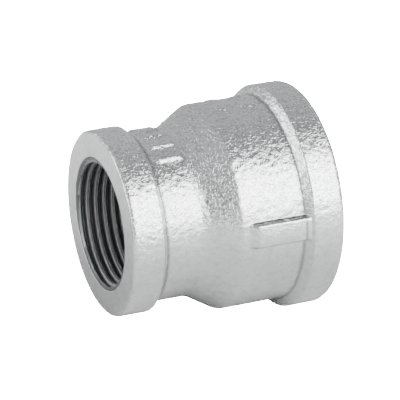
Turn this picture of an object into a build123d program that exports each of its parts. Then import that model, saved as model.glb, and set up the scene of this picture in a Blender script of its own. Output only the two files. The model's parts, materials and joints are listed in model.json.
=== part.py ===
"""Concentric reducing socket, 1 inch by 3/4 inch: banded malleable iron, hot-dip galvanised.

The fitting lies along X. The origin is at the middle of its length, on its axis.
The small socket opens towards -X and the large socket towards +X.
Millimetres throughout.
"""
from build123d import *

import math
import os
from dataclasses import dataclass


# ---------------------------------------------------------------- driving dimensions

overall_length = 43.0        # face to face
zinc_thickness = 0.1         # the hot-dipped coat, outside and in the waterway

# Outside of the casting, over the zinc. Lengths run from the small end to the large end.
small_band_diameter = 37.4
small_band_width = 6.2
neck_diameter = 34.0
neck_length = 7.9
shoulder_slope = 31.0        # degrees from the axis
barrel_diameter = 41.7
large_band_diameter = 45.7
large_band_width = 6.8
band_flank_run = 1.4         # axial run of the sloping inner side of each band
band_edge_radius = 0.9
flank_radius = 0.5           # where a band meets the neck or the barrel
shoulder_radius = 5.0

# The two lugs that a wrench bears on: opposite each other, on the parting plane.
lug_height = 1.4
lug_width = 4.8              # at the foot
lug_draft = 16.0             # degrees, each side
lug_setback = 1.7            # from the top of the shoulder to the lug's faded end
lug_run_in = 1.6             # length of the faded end
lug_angles = (0.0, 180.0)

# Plain raised casting marks on top of the neck and of the barrel.
mark_height = 0.45
mark_root = 0.6              # how far a mark's solid reaches into the wall
neck_mark_length = 5.2
neck_mark_width = 1.5
neck_mark_count = 6
neck_mark_pitch = 12.6       # degrees round the neck
barrel_mark_length = 7.4     # round the barrel
barrel_mark_width_share = 0.32   # these four are shares of the lugs' length
barrel_ring_width_share = 0.465
barrel_mark_gap_share = 0.125
barrel_mark_setback_share = 0.035

# Threads: parallel, 55 degree Whitworth form with flat roots. The tapping drill is
# larger than the basic minor diameter, so the crests are cut short and flat.
thread_flank_angle = 27.5
thread_full_depth_per_pitch = 0.640327
crest_cut_per_pitch = 0.13
thread_depth_per_pitch = thread_full_depth_per_pitch - crest_cut_per_pitch
thread_flat_per_pitch = 1 / 6
thread_overrun = 0.1         # how far the groove's tool stands inside the crests
thread_lead_turns = 1.0      # turns of the groove outside the mouth
thread_tail_turns = 0.6      # turns of the groove inside the relief, at least
mouth_clearance = 0.25       # radial, from a thread's root to the edge of its mouth
relief_clearance = 0.28      # radial, from a thread's root to the cored wall behind it
waterway_cone_lag = 1.0      # how far the inside cone starts behind the shoulder


@dataclass(frozen=True)
class Socket:
    """One threaded end: its face's place on X, the way it opens and its thread."""

    face_x: float
    opens: int
    root_diameter: float
    pitch: float
    thread_length: float

    @property
    def root_radius(self) -> float:
        return self.root_diameter / 2

    @property
    def crest_radius(self) -> float:
        return self.root_radius - thread_depth_per_pitch * self.pitch

    @property
    def mouth_radius(self) -> float:
        return self.root_radius + mouth_clearance

    @property
    def relief_radius(self) -> float:
        return self.root_radius + relief_clearance

    def x_at(self, depth: float) -> float:
        """The place on X that lies this deep inside the mouth."""
        return self.face_x - self.opens * depth


small_socket = Socket(-overall_length / 2, -1, root_diameter=26.441, pitch=1.814, thread_length=14.5)
large_socket = Socket(overall_length / 2, 1, root_diameter=33.249, pitch=2.309, thread_length=16.8)

# Places on X that follow from the sizes above.
small_flank_top_x = small_socket.face_x + small_band_width
small_flank_foot_x = small_flank_top_x + band_flank_run
shoulder_start_x = small_flank_foot_x + neck_length
shoulder_run = (barrel_diameter - neck_diameter) / 2 / math.tan(math.radians(shoulder_slope))
shoulder_end_x = shoulder_start_x + shoulder_run
large_flank_top_x = large_socket.face_x - large_band_width
large_flank_foot_x = large_flank_top_x - band_flank_run
neck_middle_x = (small_flank_foot_x + shoulder_start_x) / 2
lug_start_x = shoulder_end_x + lug_setback
lug_length = large_flank_foot_x - lug_start_x


# ---------------------------------------------------------------- outside form

def outline(inset):
    """Half section of the solid casting, its outside moved inwards by inset.

    The straight side starts that much beyond the axis, so that it ends on the axis.
    """
    half_small, half_large = small_band_diameter / 2, large_band_diameter / 2
    half_neck, half_barrel = neck_diameter / 2, barrel_diameter / 2
    corners = [
        (small_socket.face_x, -inset),
        (small_socket.face_x, half_small),
        (small_flank_top_x, half_small),
        (small_flank_foot_x, half_neck),
        (shoulder_start_x, half_neck),
        (shoulder_end_x, half_barrel),
        (large_flank_foot_x, half_barrel),
        (large_flank_top_x, half_large),
        (large_socket.face_x, half_large),
        (large_socket.face_x, -inset),
    ]
    radii = [
        band_edge_radius, flank_radius, flank_radius, flank_radius,
        shoulder_radius, flank_radius, flank_radius, band_edge_radius,
    ]
    with BuildSketch(Plane.XY) as section:
        with BuildLine():
            FilletPolyline(*corners, radius=radii)
            Line(corners[-1], corners[0])
        make_face()
        if inset:
            offset(amount=-inset, kind=Kind.INTERSECTION, mode=Mode.REPLACE)
    return section.sketch


def lug(angle, inset):
    """One lug: a drafted bar along the barrel, faded at one end and run into the large band."""
    foot_radius = barrel_diameter / 2 - mark_root
    top_radius = barrel_diameter / 2 + lug_height - inset
    spread = math.tan(math.radians(lug_draft))
    foot_half = lug_width / 2 + spread * mark_root - inset
    top_half = lug_width / 2 - spread * lug_height - inset
    length = lug_length + band_flank_run
    with BuildPart() as bar:
        with BuildSketch(Plane.YZ.offset(lug_start_x + inset)):
            Polygon(
                (foot_radius, -foot_half), (foot_radius, foot_half),
                (top_radius, top_half), (top_radius, -top_half), align=None,
            )
        extrude(amount=length)
        faded_edge = bar.edges().filter_by(Axis.Z).group_by(Axis.X)[0].sort_by(Axis.Y)[-1]
        chamfer(faded_edge, length=lug_height * 0.9, length2=lug_run_in)
    return bar.part.rotate(Axis.X, angle)


def mark(centre_x, radius, angle, size_x, size_round, hollow, inset):
    """One raised mark with round ends, on the wall at this radius, optionally a ring."""
    outward = (0, -math.sin(math.radians(angle)), math.cos(math.radians(angle)))
    seat = Plane(origin=(centre_x, 0, 0), x_dir=(1, 0, 0), z_dir=outward)
    long_side, short_side = max(size_x, size_round), min(size_x, size_round)
    turn = 0 if size_x >= size_round else 90
    with BuildPart() as pad:
        with BuildSketch(seat.offset(radius - mark_root)):
            SlotOverall(long_side - 2 * inset, short_side - 2 * inset, rotation=turn)
            if hollow:
                SlotOverall(
                    long_side * hollow + 2 * inset, short_side * hollow + 2 * inset,
                    rotation=turn, mode=Mode.SUBTRACT,
                )
        extrude(amount=mark_root + mark_height - inset)
    return pad.part


def neck_marks(inset):
    """The row of plain bars round the top of the neck, each lying along the axis."""
    first = -neck_mark_pitch * (neck_mark_count - 1) / 2
    return [
        mark(
            neck_middle_x, neck_diameter / 2, first + index * neck_mark_pitch,
            neck_mark_length, neck_mark_width, 0, inset,
        )
        for index in range(neck_mark_count)
    ]


def barrel_marks(inset):
    """A plain bar and a plain ring on top of the barrel, side by side along the axis."""
    bar_width = barrel_mark_width_share * lug_length
    ring_width = barrel_ring_width_share * lug_length
    gap = barrel_mark_gap_share * lug_length
    bar_x = lug_start_x + barrel_mark_setback_share * lug_length + bar_width / 2
    ring_x = bar_x + (bar_width + ring_width) / 2 + gap
    radius = barrel_diameter / 2
    return [
        mark(bar_x, radius, 0, bar_width, barrel_mark_length, 0, inset),
        mark(ring_x, radius, 0, ring_width, barrel_mark_length, 0.45, inset),
    ]


def casting_form(inset):
    """The whole outside as one solid, moved inwards by inset, with nothing bored out."""
    section = outline(inset)
    raised = [lug(angle, inset) for angle in lug_angles]
    raised += neck_marks(inset)
    raised += barrel_marks(inset)
    with BuildPart() as form:
        add(section)
        revolve(axis=Axis.X)
        add(raised)
    return form.part


# ---------------------------------------------------------------- inside form

def tapping_form():
    """What the drill and the mouth's countersink take out, for both sockets."""
    with BuildPart() as bores:
        for socket in (small_socket, large_socket):
            edge_depth = socket.mouth_radius - socket.crest_radius
            with BuildSketch(Plane.XY):
                Polygon(
                    (socket.x_at(0), 0),
                    (socket.x_at(0), socket.mouth_radius),
                    (socket.x_at(edge_depth), socket.crest_radius),
                    (socket.x_at(socket.thread_length), socket.crest_radius),
                    (socket.x_at(socket.thread_length), 0),
                    align=None,
                )
            revolve(axis=Axis.X)
    return bores.part


def thread_groove(socket):
    """The helical groove of one right-hand thread, from outside its mouth into its relief.

    It is wound turn by turn along +X from the small end, and turned round for the large end.
    """
    pitch = socket.pitch
    depth = thread_depth_per_pitch * pitch
    root_half = thread_flat_per_pitch * pitch / 2
    mouth_half = root_half + (depth + thread_overrun) * math.tan(math.radians(thread_flank_angle))
    turns = math.ceil(socket.thread_length / pitch + thread_lead_turns + thread_tail_turns)
    start_x = small_socket.face_x - thread_lead_turns * pitch
    coils = [
        Helix(pitch, pitch, socket.crest_radius, center=(start_x + turn * pitch, 0, 0), direction=(1, 0, 0))
        for turn in range(turns)
    ]
    outward = (coils[0] @ 0 - Vector(start_x, 0, 0)).normalized()
    with BuildPart() as groove:
        with BuildSketch(Plane(origin=coils[0] @ 0, x_dir=outward, z_dir=coils[0] % 0)):
            Polygon(
                (-thread_overrun, -mouth_half), (-thread_overrun, mouth_half),
                (depth, root_half), (depth, -root_half), align=None,
            )
        sweep(path=Wire(coils), is_frenet=True)
    if socket.opens > 0:
        return groove.part.rotate(Axis.Z, 180)
    return groove.part


def relief_corners(inset):
    """The cored wall between the two threads, as (x, radius) from the small end, moved in."""
    small_radius = small_socket.relief_radius - inset
    large_radius = large_socket.relief_radius - inset
    cone_start = shoulder_start_x + waterway_cone_lag
    cone_run = (large_radius - small_radius) / math.tan(math.radians(shoulder_slope))
    return [
        (small_socket.x_at(small_socket.thread_length), small_radius),
        (cone_start, small_radius),
        (cone_start + cone_run, large_radius),
        (large_socket.x_at(large_socket.thread_length), large_radius),
    ]


# ---------------------------------------------------------------- pieces

def make_iron_casting():
    """The malleable iron casting, bored, relieved and threaded from both ends."""
    wall = relief_corners(0)
    blank = casting_form(zinc_thickness)
    bores = tapping_form()
    grooves = [thread_groove(socket) for socket in (small_socket, large_socket)]
    with BuildPart() as iron_casting:
        add(blank)
        add(bores, mode=Mode.SUBTRACT)
        with BuildSketch(Plane.XY):
            Polygon((wall[0][0], 0), *wall, (wall[-1][0], 0), align=None)
        revolve(axis=Axis.X, mode=Mode.SUBTRACT)
        add(grooves, mode=Mode.SUBTRACT)
    iron_casting.part.label = "iron_casting"
    export_step(iron_casting.part, "parts/iron_casting.step")


def make_outer_zinc_coat():
    """The zinc over the whole outside and both end faces, as far as the mouths."""
    outside = casting_form(0)
    blank = casting_form(zinc_thickness)
    bores = tapping_form()
    with BuildPart() as outer_zinc_coat:
        add(outside)
        add(blank, mode=Mode.SUBTRACT)
        add(bores, mode=Mode.SUBTRACT)
    outer_zinc_coat.part.label = "outer_zinc_coat"
    export_step(outer_zinc_coat.part, "parts/outer_zinc_coat.step")


def make_waterway_zinc_coat():
    """The zinc left on the cored wall between the two threads."""
    wall = relief_corners(0)
    surface = relief_corners(zinc_thickness)
    with BuildPart() as waterway_zinc_coat:
        with BuildSketch(Plane.XY):
            Polygon(*wall, *reversed(surface), align=None)
        revolve(axis=Axis.X)
    waterway_zinc_coat.part.label = "waterway_zinc_coat"
    export_step(waterway_zinc_coat.part, "parts/waterway_zinc_coat.step")


os.makedirs("parts", exist_ok=True)
make_iron_casting()
make_outer_zinc_coat()
make_waterway_zinc_coat()
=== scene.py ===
"""Looks of a galvanised reducing socket: rough zinc-coated iron casting, tapped from both ends.

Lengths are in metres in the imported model's own frame: the fitting lies along X, the small
socket opens towards -X, and the two lugs stand out along Y.
"""

import json
import logging
import math
from dataclasses import dataclass, field
from enum import Enum

import bmesh
import bpy
from mathutils import Matrix, Vector, noise

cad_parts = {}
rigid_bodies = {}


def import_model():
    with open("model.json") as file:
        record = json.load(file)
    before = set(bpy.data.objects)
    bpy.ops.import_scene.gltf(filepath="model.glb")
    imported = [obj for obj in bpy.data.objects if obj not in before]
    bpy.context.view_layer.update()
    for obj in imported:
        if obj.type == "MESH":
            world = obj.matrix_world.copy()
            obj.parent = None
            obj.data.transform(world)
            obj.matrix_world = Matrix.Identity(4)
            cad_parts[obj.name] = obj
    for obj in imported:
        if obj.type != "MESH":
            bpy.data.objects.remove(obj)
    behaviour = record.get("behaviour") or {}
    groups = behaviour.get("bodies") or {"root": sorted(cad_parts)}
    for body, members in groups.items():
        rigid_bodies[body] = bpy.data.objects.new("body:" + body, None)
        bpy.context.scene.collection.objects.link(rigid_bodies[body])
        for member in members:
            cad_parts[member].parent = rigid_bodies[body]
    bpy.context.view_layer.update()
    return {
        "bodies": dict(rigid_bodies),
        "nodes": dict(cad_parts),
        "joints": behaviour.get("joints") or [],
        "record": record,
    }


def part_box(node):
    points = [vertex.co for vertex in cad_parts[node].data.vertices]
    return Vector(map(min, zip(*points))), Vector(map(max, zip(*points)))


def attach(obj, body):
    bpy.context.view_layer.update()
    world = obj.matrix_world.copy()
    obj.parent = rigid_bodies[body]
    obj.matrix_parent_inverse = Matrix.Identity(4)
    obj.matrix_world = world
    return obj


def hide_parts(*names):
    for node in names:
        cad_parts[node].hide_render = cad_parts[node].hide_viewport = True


log = logging.getLogger("reducing_socket")

MM = 0.001
FULL_TURN = 2 * math.pi
WELD = 0.002 * MM
ON_FACE = 0.01 * MM

Colour = tuple[float, float, float, float]
Corner = tuple[float, float, float]
Mesh = bmesh.types.BMesh
Edge = bmesh.types.BMEdge
Vert = bmesh.types.BMVert
Layer = bmesh.types.BMLayerItem
Socket = bpy.types.NodeSocket


class Side(Enum):
    """Which end of the fitting a socket is at, as the way it opens along X."""

    SMALL = -1
    LARGE = 1


@dataclass(frozen=True)
class Envelope:
    """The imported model's own sizes, which every new piece keeps to."""

    half_length: float
    large_radius: float
    sockets: dict[str, dict[str, float]]

    @classmethod
    def read(cls, frame: dict) -> "Envelope":
        """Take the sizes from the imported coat's box and the record's threaded mounts.


        Returns:
            The sizes, in metres but for the mounts' own dims.
        """
        low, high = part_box("outer_zinc_coat")
        mounts = frame["record"]["mounts"]
        tapped = [mount for mount in mounts if mount["kind"] == "threaded_hole"]
        return cls(
            half_length=min(-low[0], high[0]),
            large_radius=min(-low[1], high[1], -low[2], high[2]),
            sockets={mount["name"]: mount["dims"] for mount in tapped},
        )


# ------------------------------------------------------------------------- helpers


def smooth_step(low: float, high: float, value: float) -> float:
    """Rise smoothly from 0 to 1.

    Args:
        low: Where the rise starts.
        high: Where it ends. It may be below low, for a fall.
        value: The place asked about.

    Returns:
        A share between 0 and 1.
    """
    share = min(1.0, max(0.0, (value - low) / (high - low)))
    return share * share * (3 - 2 * share)


def polar(point: Vector) -> tuple[float, float]:
    """Give a point's distance from the X axis and its angle, 0 at +Z and growing towards -Y."""
    return math.hypot(point.y, point.z), math.atan2(-point.y, point.z)


def set_radius(vert: Vert, radius: float) -> None:
    """Slide a vertex straight in or out from the X axis to this radius."""
    present = math.hypot(vert.co.y, vert.co.z)
    vert.co.y *= radius / present
    vert.co.z *= radius / present


def add_chain(bm: Mesh, stations: list[Vector]) -> list[Edge]:
    """Draw an open outline as a chain of edges.

    Args:
        bm: The mesh under construction.
        stations: The outline's points in order.

    Returns:
        The chain's edges in order.
    """
    verts = [bm.verts.new(station) for station in stations]
    return [bm.edges.new(pair) for pair in zip(verts, verts[1:])]


def finish_mesh(bm: Mesh, name: str) -> bpy.types.Object:
    """Close a bmesh into a smooth-shaded object at the origin.

    Args:
        bm: The finished mesh, which is freed.
        name: The new object's name.

    Returns:
        The linked object.
    """
    bmesh.ops.recalc_face_normals(bm, faces=bm.faces)
    for face in bm.faces:
        face.smooth = True
    mesh = bpy.data.meshes.new(name)
    bm.to_mesh(mesh)
    bm.free()
    piece = bpy.data.objects.new(name, mesh)
    bpy.context.scene.collection.objects.link(piece)
    return piece


def rounded_outline(corners: list[Corner], spacing: float) -> list[Vector]:
    """Fill an outline's straight runs and round corners with evenly spaced points.

    Args:
        corners: Each corner as (x, radius from the axis, corner rounding).
        spacing: The wanted distance between points.

    Returns:
        Points in the XZ half plane, from the first corner to the last.
    """
    places = [Vector((x, 0.0, r)) for x, r, _ in corners]
    path = [places[0]]
    for before, here, after, corner in zip(places, places[1:], places[2:], corners[1:]):
        inward, outward = (before - here).normalized(), (after - here).normalized()
        half = inward.angle(outward) / 2
        reach = corner[2] / math.tan(half)
        start, end = here + inward * reach, here + outward * reach
        centre = here + (inward + outward).normalized() * (corner[2] / math.sin(half))
        turn = math.pi - 2 * half
        pieces = max(1, round(corner[2] * turn / spacing), round(turn / math.radians(15)))
        fill_straight(path, start, spacing)
        first, last = (start - centre).normalized(), (end - centre).normalized()
        shares = [step / pieces for step in range(1, pieces + 1)]
        path.extend(centre + first.slerp(last, share) * corner[2] for share in shares)
    fill_straight(path, places[-1], spacing)
    return path


def fill_straight(path: list[Vector], end: Vector, spacing: float) -> None:
    """Extend a path straight to a point in even steps.

    Args:
        path: The path so far, which grows.
        end: Where the run ends.
        spacing: The wanted distance between points.
    """
    start = path[-1]
    pieces = max(1, round((end - start).length / spacing))
    path.extend(start.lerp(end, step / pieces) for step in range(1, pieces + 1))


def repeat(
    bm: Mesh, made: list[Vert], count: int, turn: float, shift: float
) -> None:
    """Lay copies of a swept sector end to end and weld them.

    Args:
        bm: The mesh under construction.
        made: The sector's vertices.
        count: How many sectors there are in the end.
        turn: Angle from one to the next round the X axis.
        shift: Distance from one to the next along the X axis.
    """
    faces = list({face for vert in made for face in vert.link_faces})
    edges = list({edge for vert in made for edge in vert.link_edges})
    every = list(made)
    for step in range(1, count):
        copies = bmesh.ops.duplicate(bm, geom=made + edges + faces)["geom"]
        fresh = [part for part in copies if isinstance(part, Vert)]
        if turn:
            turned = Matrix.Rotation(step * turn, 3, "X")
            bmesh.ops.rotate(bm, verts=fresh, cent=(0, 0, 0), matrix=turned)
        bmesh.ops.translate(bm, verts=fresh, vec=(step * shift, 0, 0))
        every += fresh
    bmesh.ops.remove_doubles(bm, verts=every, dist=WELD)


def spin_round(
    bm: Mesh, chain: list[Edge], sectors: int, steps: int
) -> None:
    """Turn an outline once round the X axis, sector by sector, and close the seam.

    Args:
        bm: The mesh under construction, which holds nothing else.
        chain: The outline's edges.
        sectors: How many equal sectors the turn has.
        steps: How many faces go round one sector.
    """
    turn = FULL_TURN / sectors
    bmesh.ops.spin(
        bm, geom=list(bm.verts) + chain, cent=(0, 0, 0), axis=(1, 0, 0), angle=turn, steps=steps,
        use_merge=False,
    )
    repeat(bm, list(bm.verts), sectors, turn, 0.0)


# ------------------------------------------------------------------------- finishes


class NodeBench:
    """A short way to add and join shader nodes in one tree."""

    def __init__(self, tree: bpy.types.NodeTree) -> None:
        """Work on this tree, emptied."""
        self.tree = tree
        tree.nodes.clear()

    def add(self, kind: str, **settings: object) -> bpy.types.Node:
        """Add a node.

        Args:
            kind: The node's Blender type.
            **settings: Properties to set. A dict named inputs fills sockets, by name or number,
                with plain values or with other nodes' outputs.

        Returns:
            The new node.
        """
        node = self.tree.nodes.new(kind)
        sockets = settings.pop("inputs", {})
        for name, value in settings.items():
            setattr(node, name, value)
        for name, value in sockets.items():
            if isinstance(value, Socket):
                self.join(value, node.inputs[name])
            else:
                node.inputs[name].default_value = value
        return node

    def maths(self, operation: str, *values: float | Socket) -> Socket:
        """Add a maths node, fed in order, and give its result."""
        fed = dict(enumerate(values))
        return self.add("ShaderNodeMath", operation=operation, inputs=fed).outputs[0]

    def mix(self, blend: str, share: float | Socket, base: Socket, top: Colour | Socket) -> Socket:
        """Add a colour mix of this share of the top over the base, and give its result."""
        fed = {"Factor": share, "A": base, "B": top}
        mixed = self.add("ShaderNodeMix", data_type="RGBA", blend_type=blend, inputs=fed)
        return mixed.outputs["Result"]

    def layer(self, name: str) -> Socket:
        """Read one of a mesh's own layers."""
        return self.add("ShaderNodeAttribute", attribute_name=name).outputs["Fac"]

    def join(self, source: Socket, target: Socket) -> None:
        """Link two sockets."""
        self.tree.links.new(source, target)

    def ramp(self, place: Socket, stops: list[tuple[float, Colour]]) -> Socket:
        """Add a colour ramp with these stops, each a place and a colour, and give its colour."""
        node = self.add("ShaderNodeValToRGB", inputs={"Fac": place})
        elements = node.color_ramp.elements
        while len(elements) < len(stops):
            elements.new(0.5)
        for element, (stop, colour) in zip(elements, stops):
            element.position = stop
            element.color = colour
        return node.outputs["Color"]


def grey(level: float) -> Colour:
    """An opaque grey for a ramp's stop."""
    return (level, level, level, 1.0)


class CastGrain:
    """Node group: the pebbled skin that moulding sand leaves, softened by molten zinc."""

    NAME = "cast grain"
    PEBBLE_SHARE = 0.6
    DENT_SHARE = 0.28
    SWELL_SHARE = 0.25
    CREASE_WIDTH = 0.08
    CREASE_DEPTH = 0.105
    PEBBLES = {"Scale": 0.55, "Detail": 3.5, "Roughness": 0.62, "Distortion": 0.6}
    DENTS = {"Scale": 0.62, "Smoothness": 0.7}
    SWELL = {"Scale": 0.16, "Detail": 2.0}
    WINDING = {"Scale": 0.8, "Detail": 1.2, "Distortion": 0.3}
    CLOUD = {"Scale": 0.045, "Detail": 3.0, "Roughness": 0.6}
    SPECK = {"Scale": 1.5, "Detail": 2.0, "Roughness": 0.7}

    @classmethod
    def group(cls) -> bpy.types.NodeTree:
        """Build the group once.

        Returns:
            The group: in Scale, out Height (0 to 1), Cloud (0 to 1) and Speck (0 to 1).
        """
        if cls.NAME in bpy.data.node_groups:
            return bpy.data.node_groups[cls.NAME]
        tree = bpy.data.node_groups.new(cls.NAME, "ShaderNodeTree")
        tree.interface.new_socket("Scale", in_out="INPUT", socket_type="NodeSocketFloat")
        for name in ("Height", "Cloud", "Speck"):
            tree.interface.new_socket(name, in_out="OUTPUT", socket_type="NodeSocketFloat")
        bench = NodeBench(tree)
        entry = bench.add("NodeGroupInput")
        leave = bench.add("NodeGroupOutput")
        place = bench.add("ShaderNodeTexCoord")
        spread = {0: place.outputs["Object"], "Scale": entry.outputs["Scale"]}
        scaled = bench.add("ShaderNodeVectorMath", operation="SCALE", inputs=spread)

        dents = bench.add("ShaderNodeTexVoronoi", feature="SMOOTH_F1", inputs=cls.DENTS)
        pebbles, swell, winding, cloud, speck = (
            bench.add("ShaderNodeTexNoise", inputs=look)
            for look in (cls.PEBBLES, cls.SWELL, cls.WINDING, cls.CLOUD, cls.SPECK)
        )
        for node in (pebbles, dents, swell, winding, cloud, speck):
            bench.join(scaled.outputs["Vector"], node.inputs["Vector"])

        height = cls.crease(bench, winding.outputs["Fac"])
        for texture, share in (
            (pebbles.outputs["Fac"], cls.PEBBLE_SHARE),
            (dents.outputs["Distance"], cls.DENT_SHARE),
            (swell.outputs["Fac"], cls.SWELL_SHARE),
        ):
            height = bench.maths("MULTIPLY_ADD", texture, share, height)
        bench.join(height, leave.inputs["Height"])
        bench.join(cloud.outputs["Fac"], leave.inputs["Cloud"])
        bench.join(speck.outputs["Fac"], leave.inputs["Speck"])
        return tree

    @classmethod
    def crease(cls, bench: NodeBench, winding: Socket) -> Socket:
        """Sink a narrow groove where a noise crosses its middle value.

        Args:
            bench: The group's node tree.
            winding: The noise, 0 to 1.

        Returns:
            The groove's height, 0 or below.
        """
        nearness = bench.maths("ABSOLUTE", bench.maths("SUBTRACT", winding, 0.5))
        fed = {"From Max": cls.CREASE_WIDTH, "To Min": -cls.CREASE_DEPTH, "To Max": 0.0}
        groove = bench.add(
            "ShaderNodeMapRange", interpolation_type="SMOOTHSTEP", inputs={"Value": nearness, **fed}
        )
        return groove.outputs["Result"]


@dataclass(frozen=True)
class ZincFinish:
    """Hot-dipped zinc: pale grey metal, half bright, rough where the casting is rough."""

    name: str
    bright: Colour = (0.83, 0.84, 0.845, 1.0)
    dull: Colour = (0.73, 0.74, 0.745, 1.0)
    # near-black colour of the painted shade laid into the corners at the lugs' and bands' feet
    grime: Colour = (0.05, 0.055, 0.055, 1.0)
    dull_below: float = 0.36
    bright_above: float = 0.62
    pitted_below: float = 0.34
    clean_above: float = 0.52
    pit_shade: float = 0.22
    # painted shade in the grain's hollows and painted highlight on its crowns, as factors on the
    # colour
    hollow_painted_shade: float = 0.84
    crown_painted_highlight: float = 1.04
    roughness_low: float = 0.13
    roughness_high: float = 0.24
    speck_strength: float = 0.5
    grain_per_metre: float = 1500.0
    grain_depth: float = 0.3 * MM

    def build(self) -> bpy.types.Material:
        """Make the material.

        Returns:
            A Principled metal with cloud-like brightness, specks, and a pebbled bump.
        """
        material = bpy.data.materials.new(self.name)
        material.use_nodes = True
        bench = NodeBench(material.node_tree)
        shader = bench.add("ShaderNodeBsdfPrincipled", inputs={"Metallic": 1.0})
        output = bench.add("ShaderNodeOutputMaterial")
        grain = bench.add(
            "ShaderNodeGroup", node_tree=CastGrain.group(), inputs={"Scale": self.grain_per_metre}
        )
        coarse = bench.layer("coarse")
        bench.join(self.colour(bench, grain, coarse), shader.inputs["Base Color"])
        rough = bench.add(
            "ShaderNodeMapRange",
            inputs={
                "Value": grain.outputs["Cloud"], "From Min": 0.3, "From Max": 0.7,
                "To Min": self.roughness_high, "To Max": self.roughness_low,
            },
        )
        bench.join(rough.outputs["Result"], shader.inputs["Roughness"])
        height = bench.maths("MULTIPLY", grain.outputs["Height"], coarse)
        bump = bench.add("ShaderNodeBump", inputs={"Distance": self.grain_depth, "Height": height})
        bump.inputs["Strength"].default_value = 1.0
        bench.join(bump.outputs["Normal"], shader.inputs["Normal"])
        bench.join(shader.outputs["BSDF"], output.inputs["Surface"])
        return material

    def colour(self, bench: NodeBench, grain: bpy.types.Node, coarse: Socket) -> Socket:
        """Cloud the zinc, speck it, paint shade into its hollows and light onto its crowns, and
        paint shade into its corners.

        Args:
            bench: The material's node tree.
            grain: The grain group's node.
            coarse: How rough the skin is, 0 to 1, which is also how specked it is.

        Returns:
            The colour.
        """
        tone = bench.ramp(
            grain.outputs["Cloud"], [(self.dull_below, self.dull), (self.bright_above, self.bright)]
        )
        pit = bench.ramp(
            grain.outputs["Speck"],
            [(self.pitted_below, grey(self.pit_shade)), (self.clean_above, grey(1.0))],
        )
        # painted shade and highlight: darker where the relief layer is low, lighter where it is
        # high
        painted_relief_light = bench.ramp(
            bench.layer("relief"),
            [(0.2, grey(self.hollow_painted_shade)), (0.5, grey(1.0)), (0.9, grey(self.crown_painted_highlight))],
        )
        speck_share = bench.maths("MULTIPLY", coarse, self.speck_strength)
        speckled = bench.mix("MULTIPLY", speck_share, tone, pit)
        shaded = bench.mix("MULTIPLY", 1.0, speckled, painted_relief_light)
        # painted shade: the corners at the lugs' and bands' feet are mixed towards near black
        return bench.mix("MIX", bench.layer("grime"), shaded, self.grime)


@dataclass(frozen=True)
class CutIronFinish:
    """Freshly tapped malleable iron: dark, with a film of cutting oil and tool lines."""

    name: str
    # near-black painted shade for the thread roots and the mouth cone
    recess_painted_shade: Colour = (0.1, 0.11, 0.11, 1.0)
    dark: Colour = (0.18, 0.195, 0.195, 1.0)
    crest_tone: Colour = (0.33, 0.35, 0.35, 1.0)
    dark_from: float = 0.3
    oil_film: float = 0.4
    roughness_low: float = 0.294
    roughness_high: float = 0.63
    grain_per_metre: float = 2200.0
    lines_per_metre: tuple[float, float, float] = (9000.0, 900.0, 900.0)
    line_depth: float = 0.012 * MM

    def build(self) -> bpy.types.Material:
        """Make the material.

        Returns:
            A Principled metal under a thin oil coat, palest on the crests, with painted shade
            darkening the roots and the mouth cone.
        """
        material = bpy.data.materials.new(self.name)
        material.use_nodes = True
        bench = NodeBench(material.node_tree)
        shader = bench.add(
            "ShaderNodeBsdfPrincipled", inputs={"Metallic": 0.85, "Coat Roughness": 0.12}
        )
        output = bench.add("ShaderNodeOutputMaterial")
        grain = bench.add(
            "ShaderNodeGroup", node_tree=CastGrain.group(), inputs={"Scale": self.grain_per_metre}
        )
        crest = bench.layer("relief")
        # painted shade: dark in the roots and on the mouth cone, palest on the crests
        tone = bench.ramp(crest, [(0.0, self.recess_painted_shade), (self.dark_from, self.dark), (1.0, self.crest_tone)])
        bench.join(tone, shader.inputs["Base Color"])
        film = bench.add("ShaderNodeMapRange", inputs={"Value": crest, "To Max": self.oil_film})
        bench.join(film.outputs["Result"], shader.inputs["Coat Weight"])
        span = {"To Min": self.roughness_low, "To Max": self.roughness_high}
        rough = bench.add("ShaderNodeMapRange", inputs={"Value": grain.outputs["Cloud"], **span})
        bench.join(rough.outputs["Result"], shader.inputs["Roughness"])
        place = bench.add("ShaderNodeTexCoord")
        lines = bench.add("ShaderNodeTexNoise", inputs={"Scale": 1.0, "Detail": 2.0})
        along = bench.add("ShaderNodeMapping", inputs={"Scale": self.lines_per_metre})
        bench.join(place.outputs["Object"], along.inputs["Vector"])
        bench.join(along.outputs["Vector"], lines.inputs["Vector"])
        bump = bench.add("ShaderNodeBump", inputs={"Strength": 1.0, "Distance": self.line_depth})
        bench.join(lines.outputs["Fac"], bump.inputs["Height"])
        bench.join(bump.outputs["Normal"], shader.inputs["Normal"])
        bench.join(shader.outputs["BSDF"], output.inputs["Surface"])
        return material


# ------------------------------------------------------------------------- raised shapes


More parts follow.
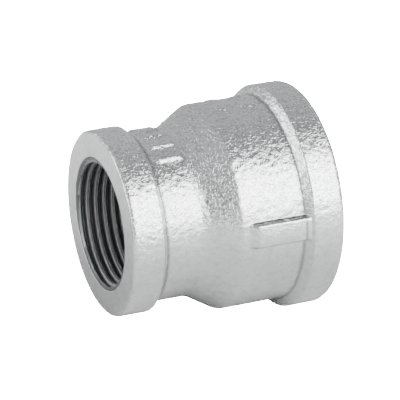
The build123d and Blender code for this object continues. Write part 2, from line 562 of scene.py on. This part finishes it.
@dataclass(frozen=True)
class Lug:
    """A wrench lug on the barrel, faded at one end and run into the large band."""

    angle: float
    start_x: float = 1.3 * MM
    end_x: float = 13.3 * MM
    run_in: float = 2.2 * MM
    half_width: float = 2.15 * MM
    side_run: float = 0.55 * MM
    top_radius: float = 22.25 * MM
    crown: float = 0.05 * MM
    buried: float = 2.0 * MM
    # strengths of the painted shade along the lug's foot: the side that faces up is darker
    painted_shade_top: float = 0.7
    painted_shade_under: float = 0.3

    def lift(self, x: float, radius: float, angle: float) -> float:
        """Say how far the wall rises here to become the lug.

        Args:
            x: Place along the axis.
            radius: The plain wall's radius.
            angle: Place round the axis.

        Returns:
            The rise in metres.
        """
        turn = math.remainder(angle - self.angle, FULL_TURN)
        across = abs(turn) * radius
        beside = across > self.half_width + self.side_run
        if beside or not self.start_x < x < self.end_x + self.buried or radius >= self.top_radius:
            return 0.0
        shoulder = self.half_width - self.side_run * 0.3
        side = smooth_step(self.half_width + self.side_run, shoulder, across)
        end = smooth_step(self.start_x, self.start_x + self.run_in, x)
        crowned = self.top_radius - self.crown * (across / self.half_width) ** 2
        return (crowned - radius) * side * end

    def grime(self, x: float, plain_radius: float, angle: float) -> float:
        """Say how strongly painted shade darkens the corner along the lug's foot, more on the side
        that faces up.

        Args:
            x: Place along the axis.
            plain_radius: The plain wall's radius.
            angle: Place round the axis.

        Returns:
            A share between 0 and 1.
        """
        turn = math.remainder(angle - self.angle, FULL_TURN)
        foot = self.half_width + self.side_run * 0.7
        near = smooth_step(0.5 * MM, 0.05 * MM, abs(abs(turn) * plain_radius - foot))
        along = smooth_step(self.start_x, self.start_x + self.run_in, x)
        along *= smooth_step(self.end_x + 0.6 * MM, self.end_x, x)
        # painted shade: stronger on the upper foot, where shadow falls
        strength = self.painted_shade_top if math.cos(angle) > 0 else self.painted_shade_under
        return strength * near * along


@dataclass(frozen=True)
class CastMark:
    """A plain raised mark with round ends, solid or a ring."""

    x: float
    angle: float
    wall_radius: float
    size_x: float
    size_round: float
    hollow: float = 0.0
    height: float = 0.45 * MM
    edge: float = 0.42 * MM

    def distance(self, along: float, across: float, share: float) -> float:
        """Distance outside the mark's outline, drawn at a share of its size."""
        long_half, short_half = self.size_x * share / 2, self.size_round * share / 2
        if long_half < short_half:
            long_half, short_half, along, across = short_half, long_half, across, along
        beyond = max(0.0, abs(along) - (long_half - short_half))
        return math.hypot(beyond, across) - short_half

    def lift(self, x: float, radius: float, angle: float) -> float:
        """Say how far the wall rises here to become the mark.

        Args:
            x: Place along the axis.
            radius: The plain wall's radius.
            angle: Place round the axis.

        Returns:
            The rise in metres.
        """
        along = x - self.x
        across = math.remainder(angle - self.angle, FULL_TURN) * self.wall_radius
        outside = self.distance(along, across, 1.0)
        if outside > self.edge:
            return 0.0
        rise = smooth_step(self.edge, -self.edge, outside)
        if self.hollow:
            rise *= smooth_step(-self.edge, self.edge, self.distance(along, across, self.hollow))
        return self.height * rise


# ------------------------------------------------------------------------- the zinc-coated outside


@dataclass
class OuterSkin:
    """The zinc-coated outside: both bands, neck, shoulder, barrel, lugs, marks and end faces."""

    finish: ZincFinish
    half_length: float
    highest: float
    small_mouth: float
    large_mouth: float
    small_band_radius: float = 18.7 * MM
    small_band_end: float = -15.3 * MM
    small_band_foot: float = -13.9 * MM
    neck_radius: float = 17.0 * MM
    neck_end: float = -6.0 * MM
    barrel_radius: float = 20.85 * MM
    barrel_start: float = 0.41 * MM
    large_band_foot: float = 13.3 * MM
    large_band_start: float = 14.7 * MM
    edge_round: float = 0.9 * MM
    large_edge_round: float = 1.5 * MM
    foot_round: float = 0.4 * MM
    coat: float = 0.1 * MM
    hidden_depth: float = 0.55 * MM
    sectors: int = 12
    sector_steps: int = 38
    spacing: float = 0.29 * MM
    crowding: float = 0.075
    pebble_size: float = 1.05 * MM
    pebble_depth: float = 0.065 * MM
    ripple_size: float = 5.5 * MM
    ripple_depth: float = 0.06 * MM
    face_coarseness: float = 0.22
    underside_coarseness: float = 0.38
    face_sink: float = 0.02 * MM
    rim_fade: float = 1.2 * MM
    relief_share: float = 0.35
    # strength of the painted shade in the corners at the bands' feet
    corner_painted_shade: float = 0.5
    neck_marks: int = 6
    neck_marks_x: float = -9.95 * MM
    mark_pitch: float = math.radians(12.6)
    lugs: list[Lug] = field(default_factory=lambda: [Lug(math.pi / 2), Lug(-math.pi / 2)])

    def __post_init__(self) -> None:
        """Lay out the section's corners, bars on the neck, and a bar and a ring on the barrel."""
        self.outline = [
            (-self.half_length, self.small_mouth, 0.0),
            (-self.half_length, self.small_band_radius, self.edge_round),
            (self.small_band_end, self.small_band_radius, self.foot_round),
            (self.small_band_foot, self.neck_radius, self.foot_round),
            (self.neck_end, self.neck_radius, 5.0 * MM),
            (self.barrel_start, self.barrel_radius, 1.5 * MM),
            (self.large_band_foot, self.barrel_radius, self.foot_round),
            (self.large_band_start, self.highest, self.foot_round),
            (self.half_length, self.highest, self.large_edge_round),
            (self.half_length, self.large_mouth, 0.0),
        ]
        middle = (self.neck_marks - 1) / 2
        turns = [(index - middle) * self.mark_pitch for index in range(self.neck_marks)]
        neck, barrel = self.neck_radius, self.barrel_radius
        self.marks = [
            *(CastMark(self.neck_marks_x, turn, neck, 5.2 * MM, 1.5 * MM) for turn in turns),
            CastMark(4.3 * MM, 0.0, barrel, 3.6 * MM, 7.4 * MM),
            CastMark(10.1 * MM, 0.0, barrel, 5.2 * MM, 7.4 * MM, hollow=0.45),
        ]

    def build(self) -> bpy.types.Object:
        """Spin the outline, raise the lugs and marks, and roughen the skin.

        Returns:
            The skin as a closed thin shell.
        """
        bm = bmesh.new()
        layers = bm.verts.layers.float
        relief, coarse, grime = (layers.new(name) for name in ("relief", "coarse", "grime"))
        visible = add_chain(bm, rounded_outline(self.outline, self.spacing))
        for edge in visible:
            for vert in edge.verts:
                vert[coarse] = 1.0
        hidden = add_chain(bm, self.hidden_side())
        joints = [
            (visible[-1].verts[1], hidden[0].verts[0]),
            (hidden[-1].verts[1], visible[0].verts[0]),
        ]
        chain = visible + hidden + [bm.edges.new(pair) for pair in joints]
        spin_round(bm, chain, self.sectors, self.sector_steps)
        for vert in bm.verts:
            radius, angle = polar(vert.co)
            angle -= self.crowding * math.sin(4 * angle)
            vert.co.y, vert.co.z = -radius * math.sin(angle), radius * math.cos(angle)
            vert[relief] = 0.5
            if vert[coarse] > 0.5:
                self.shape(vert, angle, relief, coarse, grime)
        piece = finish_mesh(bm, "zinc_coated_outside")
        piece.data.materials.append(self.finish.build())
        return piece

    def coarseness(self, x: float, angle: float) -> float:
        """Say how rough the skin is here: most above the parting plane, least on the faces.

        Args:
            x: Place along the axis.
            angle: Place round the axis.

        Returns:
            A share between 0 and 1.
        """
        if abs(x) > self.half_length - 5 * ON_FACE:
            return self.face_coarseness
        turn = abs(math.remainder(angle, FULL_TURN))
        below = smooth_step(math.radians(78), math.radians(90), turn)
        return 1.0 + (self.underside_coarseness - 1.0) * below

    def hidden_side(self) -> list[Vector]:
        """The hidden side of the coat, from the large mouth back to the small one.

        Returns:
            Points in the XZ half plane, a coat's thickness in at the faces and deeper elsewhere.
        """
        face, deep = self.half_length - self.coat, self.hidden_depth
        corners = [
            (face, self.large_mouth - self.coat),
            (face, self.highest - self.large_edge_round),
            (self.half_length - self.large_edge_round, self.highest - deep),
            (self.large_band_start + deep, self.highest - deep),
            (self.large_band_foot + deep / 2, self.barrel_radius - deep),
            (self.barrel_start + deep / 2, self.barrel_radius - deep),
            (self.neck_end, self.neck_radius - deep),
            (self.small_band_foot - deep / 2, self.neck_radius - deep),
            (self.small_band_end - deep, self.small_band_radius - deep),
            (self.edge_round - self.half_length, self.small_band_radius - deep),
            (-face, self.small_band_radius - self.edge_round),
            (-face, self.small_mouth - self.coat),
        ]
        return [Vector((x, 0.0, radius)) for x, radius in corners]

    def foot_painted_shade(self, x: float, radius: float) -> float:
        """Say how strongly painted shade darkens the corner at the foot of each band here, from 0
        up to the corner's full strength.
        """
        feet = (
            (self.small_band_foot, self.neck_radius),
            (self.large_band_foot, self.barrel_radius),
        )
        nearest = min(math.hypot(x - foot_x, radius - foot_radius) for foot_x, foot_radius in feet)
        return self.corner_painted_shade * smooth_step(0.6 * MM, 0.1 * MM, nearest)

    def shape(self, vert: Vert, angle: float, relief: Layer, coarse: Layer, grime: Layer) -> None:
        """Raise one point of the wall, roughen it, and note its finish.

        Args:
            vert: The point.
            angle: Its place round the axis.
            relief: The layer that takes how proud or sunken the point is.
            coarse: The layer that takes how rough the skin is.
            grime: The layer that takes how much painted shade darkens it.
        """
        x, plain = vert.co.x, polar(vert.co)[0]
        vert[coarse] = self.coarseness(x, angle)
        pebble = noise.noise(vert.co / self.pebble_size)
        pebble += 0.5 * noise.noise(vert.co / (self.pebble_size * 0.52) + Vector((7.0, 3.0, 1.0)))
        ripple = noise.noise(vert.co / self.ripple_size + Vector((2.0, 9.0, 4.0)))
        push = self.pebble_depth * pebble * vert[coarse] + self.ripple_depth * ripple
        vert[relief] = min(1.0, max(0.0, 0.5 + pebble * self.relief_share))
        if abs(x) > self.half_length - ON_FACE:
            rim = self.highest - self.large_edge_round
            if x < 0:
                rim = self.small_band_radius - self.edge_round
            inset = max(0.0, 0.5 * push + self.face_sink)
            vert.co.x -= math.copysign(inset * smooth_step(rim, rim - self.rim_fade, plain), x)
            return
        # painted shade along the lugs' feet and in the corners at the bands' feet
        lug_painted_shade = [lug.grime(x, plain, angle) for lug in self.lugs]
        vert[grime] = max(*lug_painted_shade, self.foot_painted_shade(x, plain))
        lift = max([part.lift(x, plain, angle) for part in (*self.lugs, *self.marks)])
        set_radius(vert, min(self.highest, plain + lift + push))


# ------------------------------------------------------------------------- the tapped iron


@dataclass(frozen=True)
class Thread:
    """One right-hand pipe thread, cut into the casting from one face.

    The ridge lists, over one turn, shares of the pitch against shares of the depth.
    """

    side: Side
    crest: float
    pitch: float
    full_length: float
    relief: float
    turn_steps: int = 144
    depth_per_pitch: float = 0.51
    mouth_room: float = 0.25 * MM
    ridge: tuple[tuple[float, float], ...] = (
        (0.0, 0.0), (0.05, 0.0), (0.09, 0.03), (0.12, 0.11), (0.17, 0.32),
        (0.24, 0.62), (0.29, 0.83), (0.325, 0.95), (0.36, 1.0), (0.43, 1.0),
        (0.57, 1.0), (0.64, 1.0), (0.675, 0.95), (0.71, 0.83), (0.76, 0.62),
        (0.83, 0.32), (0.88, 0.11), (0.91, 0.03), (0.95, 0.0), (1.0, 0.0),
    )

    @classmethod
    def from_mount(
        cls, side: Side, dims: dict[str, float], pitch: float, relief: float
    ) -> "Thread":
        """Take a thread's crest and length from its mount.

        Args:
            side: Which end it is at.
            dims: The mount's r_mm and length_mm.
            pitch: From one crest to the next.
            relief: Radius of the turned groove behind the thread.

        Returns:
            The thread.
        """
        return cls(side, dims["r_mm"] * MM, pitch, dims["length_mm"] * MM, relief)

    @property
    def depth(self) -> float:
        """Height of the ridge over the root."""
        return self.depth_per_pitch * self.pitch

    @property
    def root(self) -> float:
        """Radius at the bottom of the groove."""
        return self.crest + self.depth

    @property
    def length(self) -> float:
        """Length from the face, with the coned mouth."""
        return self.full_length + self.mouth - self.crest

    @property
    def mouth(self) -> float:
        """Radius of the opening at the face."""
        return self.root + self.mouth_room


@dataclass
class TappedIron:
    """The iron casting: both threaded sockets, the step behind each, and the cored wall.

    Both walls list places along the axis against radii, in millimetres.
    """

    finish: CutIronFinish
    half_length: float
    small: Thread
    large: Thread
    face_inset: float = 0.08 * MM
    mouth_slope: float = 4.0
    lead_turns: float = 2.05
    cored_wall: tuple[tuple[float, float], ...] = ((-5.0, 13.55), (0.665, 16.95))
    hidden_wall: tuple[tuple[float, float], ...] = (
        (-21.42, 18.0), (-16.0, 18.0), (-14.3, 16.2), (-6.2, 16.2), (0.5, 20.1),
        (13.4, 20.1), (15.0, 22.0), (20.1, 22.0), (21.42, 21.2),
    )

    def build(self) -> bpy.types.Object:
        """Wind both threads and close the casting between them, inside and outside.

        Returns:
            The casting as one closed mesh.
        """
        bm = bmesh.new()
        crest = bm.verts.layers.float.new("relief")
        small_mouth, small_end = self.wind(bm, self.small, crest)
        large_mouth, large_end = self.wind(bm, self.large, crest)
        small_end = self.widen(bm, small_end, self.small.relief)
        large_end = self.widen(bm, large_end, self.large.relief)
        for x, radius in self.cored_wall:
            small_end = self.widen(bm, small_end, radius * MM, x * MM)
        bmesh.ops.bridge_loops(bm, edges=small_end + large_end)
        for x, radius in self.hidden_wall:
            small_mouth = self.widen(bm, small_mouth, radius * MM, x * MM)
        bmesh.ops.bridge_loops(bm, edges=small_mouth + large_mouth)
        piece = finish_mesh(bm, "tapped_iron_casting")
        piece.data.materials.append(self.finish.build())
        return piece

    def wind(
        self, bm: Mesh, thread: Thread, crest: Layer
    ) -> tuple[list[Edge], list[Edge]]:
        """Wind one thread from the small end's side, cut it square, and turn it to its end.

        Args:
            bm: The mesh under construction.
            thread: The thread's sizes.
            crest: The layer that takes 1 on a crest and 0 in a root.

        Returns:
            The rim's edges at the mouth and at the inner end.
        """
        start = -self.half_length - self.lead_turns * thread.pitch
        turns = math.ceil(thread.length / thread.pitch + self.lead_turns) + 1
        older = set(bm.verts)
        stations = [
            Vector((start + along * thread.pitch, 0.0, thread.root - up * thread.depth))
            for along, up in thread.ridge
        ]
        chain = add_chain(bm, stations)
        bmesh.ops.spin(
            bm, geom=[vert for vert in bm.verts if vert not in older] + chain, cent=(0, 0, 0),
            axis=(1, 0, 0), angle=FULL_TURN, steps=thread.turn_steps,
            dvec=(thread.pitch / thread.turn_steps, 0, 0), use_merge=False,
        )
        repeat(bm, [vert for vert in bm.verts if vert not in older], turns, 0.0, thread.pitch)
        self.cut(bm, older, -self.half_length + self.face_inset, -1.0)
        self.cut(bm, older, -self.half_length + thread.length, 1.0)
        made = [vert for vert in bm.verts if vert not in older]
        for vert in made:
            radius = polar(vert.co)[0]
            vert[crest] = min(1.0, max(0.0, (thread.root - radius) / thread.depth))
            cone = thread.mouth - self.mouth_slope * (vert.co.x + self.half_length)
            if cone > radius:
                set_radius(vert, cone)
                # painted shade: the mouth cone takes the darkest tone
                vert[crest] = 0.0
        rims = ([], [])
        touching = {edge for vert in made for edge in vert.link_edges}
        for edge in (edge for edge in touching if len(edge.link_faces) == 1):
            at_mouth = edge.verts[0].co.x < -self.half_length + 2 * self.face_inset
            rims[0 if at_mouth else 1].append(edge)
        if thread.side is Side.LARGE:
            end_for_end = Matrix.Rotation(math.pi, 3, "Z")
            bmesh.ops.rotate(bm, verts=made, cent=(0, 0, 0), matrix=end_for_end)
        return rims

    def cut(self, bm: Mesh, older: set[Vert], x: float, away: float) -> None:
        """Slice the new thread square at this place and drop what lies beyond.

        Args:
            bm: The mesh under construction.
            older: Vertices that were there before the thread.
            x: Place of the cut.
            away: The side to drop, as a sign along X.
        """
        verts = [vert for vert in bm.verts if vert not in older]
        edges = list({edge for vert in verts for edge in vert.link_edges})
        faces = list({face for vert in verts for face in vert.link_faces})
        bmesh.ops.bisect_plane(
            bm, geom=verts + edges + faces, dist=2 * WELD, plane_co=(x, 0, 0),
            plane_no=(away, 0, 0), clear_outer=True,
        )

    def widen(
        self, bm: Mesh, rim: list[Edge], radius: float, x: float | None = None
    ) -> list[Edge]:
        """Extrude a rim to a round ring.

        Args:
            bm: The mesh under construction.
            rim: The rim's edges.
            radius: The new ring's radius.
            x: The new ring's place, or None to stay in the rim's plane.

        Returns:
            The new ring's edges.
        """
        made = bmesh.ops.extrude_edge_only(bm, edges=rim)["geom"]
        for vert in (part for part in made if isinstance(part, Vert)):
            set_radius(vert, radius)
            if x is not None:
                vert.co.x = x
        ring = [part for part in made if isinstance(part, Edge)]
        return [edge for edge in ring if len(edge.link_faces) == 1]


@dataclass
class WaterwaySkin:
    """The zinc left on the cored wall between the two threads.

    The wall lists places along the axis, radii and bends, in millimetres. Its first points, up
    to hidden_from, are the side that the water touches.
    """

    finish: ZincFinish
    sectors: int = 8
    sector_steps: int = 30
    spacing: float = 0.45 * MM
    coarseness: float = 0.5
    ripple_size: float = 1.4 * MM
    ripple_relief: float = 0.4
    hidden_from: int = 6
    wall: tuple[Corner, ...] = (
        (-6.98, 13.49, 0.0), (-6.98, 13.4, 0.02), (-5.0, 13.4, 0.8), (0.665, 16.8, 0.8),
        (4.68, 16.8, 0.02), (4.68, 16.89, 0.0), (0.66, 16.89, 0.0), (-5.0, 13.49, 0.0),
    )

    def build(self) -> bpy.types.Object:
        """Spin the coat and roughen the side that the water touches.

        Returns:
            The coat as a closed thin shell.
        """
        bm = bmesh.new()
        corners = [(x * MM, radius * MM, bend * MM) for x, radius, bend in self.wall]
        path = rounded_outline(corners[: self.hidden_from], self.spacing)
        path += [Vector((x, 0.0, radius)) for x, radius, _ in corners[self.hidden_from :]]
        chain = add_chain(bm, path)
        chain.append(bm.edges.new((chain[-1].verts[1], chain[0].verts[0])))
        spin_round(bm, chain, self.sectors, self.sector_steps)
        rough = bm.verts.layers.float.new("relief")
        coarse = bm.verts.layers.float.new("coarse")
        for vert in bm.verts:
            vert[rough] = 0.5 + self.ripple_relief * noise.noise(vert.co / self.ripple_size)
            vert[coarse] = self.coarseness
        piece = finish_mesh(bm, "zinc_coated_waterway")
        piece.data.materials.append(self.finish.build())
        return piece


# ------------------------------------------------------------------------- the studio


def facing(azimuth: float, elevation: float) -> Vector:
    """The direction from the fitting to a place, in degrees: azimuth 0 is -Y and 90 is +X."""
    turn, rise = math.radians(azimuth), math.radians(elevation)
    level = math.cos(rise)
    return Vector((math.sin(turn) * level, -math.cos(turn) * level, math.sin(rise)))


@dataclass
class ViewCamera:
    """The camera: where it stands, where it points and its lens."""

    azimuth: float = -22.83
    elevation: float = 19.07
    roll: float = 1.83
    distance: float = 451.58 * MM
    aim: tuple[float, float, float] = (0.32 * MM, 0.36 * MM, 1.32 * MM)
    lens: float = 202.5

    def build(self) -> bpy.types.Object:
        """Place the camera and make it the scene's.

        Returns:
            The camera.
        """
        data = bpy.data.cameras.new("view_camera")
        data.lens = self.lens
        data.sensor_width = 36.0
        data.clip_start = 0.01
        camera = bpy.data.objects.new("view_camera", data)
        outward = facing(self.azimuth, self.elevation)
        level_right = Vector((0, 0, 1)).cross(outward).normalized()
        level_up = outward.cross(level_right)
        tilt = Matrix.Rotation(math.radians(self.roll), 3, -outward)
        columns = (tilt @ level_right, tilt @ level_up, outward)
        camera.matrix_world = Matrix.Translation(
            Vector(self.aim) + outward * self.distance
        ) @ Matrix(columns).transposed().to_4x4()
        bpy.context.scene.collection.objects.link(camera)
        bpy.context.scene.camera = camera
        return camera


@dataclass
class Panel:
    """One soft light: a rectangle that faces the fitting from a direction."""

    name: str
    azimuth: float
    elevation: float
    width: float
    height: float
    brightness: float
    distance: float = 1.0

    def build(self) -> None:
        """Hang the panel."""
        data = bpy.data.lights.new(self.name, "AREA")
        data.shape = "RECTANGLE"
        data.size, data.size_y = self.width, self.height
        data.energy = self.brightness * self.width * self.height * math.pi
        light = bpy.data.objects.new(self.name, data)
        outward = facing(self.azimuth, self.elevation)
        light.location = outward * self.distance
        light.rotation_euler = outward.to_track_quat("Z", "Y").to_euler()
        bpy.context.scene.collection.objects.link(light)


@dataclass(frozen=True)
class DarkPatch:
    """A dimmer part of the surround, which gives the metal something dark to mirror."""

    azimuth: float
    elevation: float
    reach: float
    level: float


@dataclass
class Studio:
    """Soft panels round the fitting, a white surround and a pale floor it rests on."""

    panels: list[Panel] = field(
        default_factory=lambda: [
            Panel("key_panel", 25.0, 24.0, 1.35, 0.88, 8.0),
            Panel("side_panel", -110.0, 11.0, 1.0, 0.6, 6.0),
        ]
    )
    dark_patches: tuple[DarkPatch, ...] = (
        DarkPatch(70.0, 62.0, 0.68, 0.45),
        DarkPatch(-42.0, 8.0, 0.58, 0.3),
    )
    surround_white: float = 60.0
    surround_light: float = 0.72
    floor_white: float = 60.0
    floor_span: float = 3.0
    floor_fade: float = 0.3
    # painted shadow: the floor's colour by distance from the middle, darkest close to the fitting
    floor_painted_shadow: tuple[tuple[float, float], ...] = (
        (0.04, 0.32), (0.1, 0.5), (0.2, 0.72), (0.5, 0.95),
    )
    small_radius: float = 18.72 * MM
    small_x: float = -18.4 * MM
    large_radius: float = 22.86 * MM
    large_x: float = 18.1 * MM

    def build(self) -> None:
        """Light the scene and lay the floor under both bands."""
        for panel in self.panels:
            panel.build()
        self.light_surround()
        self.lay_floor()

    def light_surround(self) -> None:
        """Fill the surround: white where it is looked at, soft grey as light."""
        world = bpy.data.worlds.new("studio_surround")
        world.use_nodes = True
        bpy.context.scene.world = world
        bench = NodeBench(world.node_tree)
        seen = bench.add("ShaderNodeBackground", inputs={"Strength": self.surround_white})
        seen.inputs["Color"].default_value = (1, 1, 1, 1)
        lit = bench.add("ShaderNodeBackground", inputs={"Strength": self.surround_light})
        bench.join(self.surround_tone(bench), lit.inputs["Color"])
        path = bench.add("ShaderNodeLightPath")
        either = bench.add("ShaderNodeMixShader")
        output = bench.add("ShaderNodeOutputWorld")
        bench.join(path.outputs["Is Camera Ray"], either.inputs["Fac"])
        bench.join(lit.outputs["Background"], either.inputs[1])
        bench.join(seen.outputs["Background"], either.inputs[2])
        bench.join(either.outputs["Shader"], output.inputs["Surface"])

    def surround_tone(self, bench: NodeBench) -> Socket:
        """Dim the surround's colour towards each dark patch.

        Args:
            bench: The surround's node tree.

        Returns:
            The colour to light with.
        """
        place = bench.add("ShaderNodeTexCoord")
        tone = bench.add("ShaderNodeRGB").outputs["Color"]
        tone.default_value = (0.97, 0.985, 1, 1)
        for patch in self.dark_patches:
            middle = facing(patch.azimuth, patch.elevation)
            away = bench.add("ShaderNodeVectorMath", operation="DISTANCE", inputs={1: middle})
            level = bench.add(
                "ShaderNodeMapRange", interpolation_type="SMOOTHSTEP",
                inputs={"From Max": patch.reach, "To Min": patch.level},
            )
            dimmed = bench.add("ShaderNodeVectorMath", operation="SCALE")
            bench.join(place.outputs["Generated"], away.inputs[0])
            bench.join(away.outputs["Value"], level.inputs["Value"])
            bench.join(tone, dimmed.inputs[0])
            bench.join(level.outputs["Result"], dimmed.inputs["Scale"])
            tone = dimmed.outputs["Vector"]
        return tone

    def lay_floor(self) -> None:
        """Lay a pale sheet that touches both bands from below."""
        run = self.large_x - self.small_x
        drop = math.asin((self.large_radius - self.small_radius) / run)
        bm = bmesh.new()
        bmesh.ops.create_grid(bm, x_segments=8, y_segments=8, size=self.floor_span / 2)
        bmesh.ops.rotate(bm, verts=bm.verts, cent=(0, 0, 0), matrix=Matrix.Rotation(drop, 3, "Y"))
        normal = Vector((math.sin(drop), 0.0, math.cos(drop)))
        foot = Vector((self.large_x, 0.0, 0.0)) - normal * self.large_radius
        bmesh.ops.translate(bm, verts=bm.verts, vec=foot)
        floor = finish_mesh(bm, "pale_floor")
        floor.data.materials.append(self.floor_material())

    def floor_material(self) -> bpy.types.Material:
        """A matt sheet, white where it is looked at; its colour darkens near the fitting, a painted
        shadow that the metal mirrors.
        """
        material = bpy.data.materials.new("pale_sheet")
        material.use_nodes = True
        bench = NodeBench(material.node_tree)
        shader = bench.add("ShaderNodeBsdfPrincipled", inputs={"Roughness": 0.8})
        place = bench.add("ShaderNodeTexCoord")
        away = bench.add("ShaderNodeVectorMath", operation="LENGTH")
        bench.join(place.outputs["Object"], away.inputs[0])
        reach = bench.maths("DIVIDE", away.outputs["Value"], self.floor_fade)
        # painted shadow: the floor darkens towards the fitting
        tone = bench.ramp(reach, [(distance, grey(level)) for distance, level in self.floor_painted_shadow])
        bench.join(tone, shader.inputs["Base Color"])
        path = bench.add("ShaderNodeLightPath")
        seen = bench.maths("MULTIPLY", path.outputs["Is Camera Ray"], self.floor_white)
        glow = bench.add("ShaderNodeEmission", inputs={"Strength": seen})
        either = bench.add("ShaderNodeAddShader")
        output = bench.add("ShaderNodeOutputMaterial")
        bench.join(shader.outputs["BSDF"], either.inputs[0])
        bench.join(glow.outputs["Emission"], either.inputs[1])
        bench.join(either.outputs["Shader"], output.inputs["Surface"])
        return material


# ------------------------------------------------------------------------- the whole scene


def place(piece: bpy.types.Object, node: str, slot: str) -> None:
    """Let a new piece stand for its CAD node.

    Args:
        piece: The new piece.
        node: The CAD node it replaces.
        slot: Name of the CAD node's material slot; not used.
    """
    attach(piece, "root")
    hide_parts(node)
    piece.data.calc_loop_triangles()
    log.info("%s: %d triangles", piece.name, len(piece.data.loop_triangles))


def main() -> None:
    """Build every piece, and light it."""
    logging.basicConfig(level=logging.INFO)
    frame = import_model()
    envelope = Envelope.read(frame)
    small = Thread.from_mount(Side.SMALL, envelope.sockets["small_socket"], 1.814 * MM, 13.55 * MM)
    large = Thread.from_mount(Side.LARGE, envelope.sockets["large_socket"], 2.309 * MM, 16.95 * MM)
    ViewCamera().build()
    Studio().build()
    outside = OuterSkin(
        ZincFinish("half_bright_zinc"), half_length=envelope.half_length,
        highest=envelope.large_radius, small_mouth=small.mouth, large_mouth=large.mouth,
    )
    iron = TappedIron(CutIronFinish("oily_tapped_iron"), envelope.half_length, small, large)
    waterway = WaterwaySkin(ZincFinish("dull_inner_zinc", grain_depth=0.1 * MM))
    place(outside.build(), "outer_zinc_coat", "zinc")
    place(iron.build(), "iron_casting", "cut_iron")
    place(waterway.build(), "waterway_zinc_coat", "zinc")


if __name__ == "__main__":
    main()
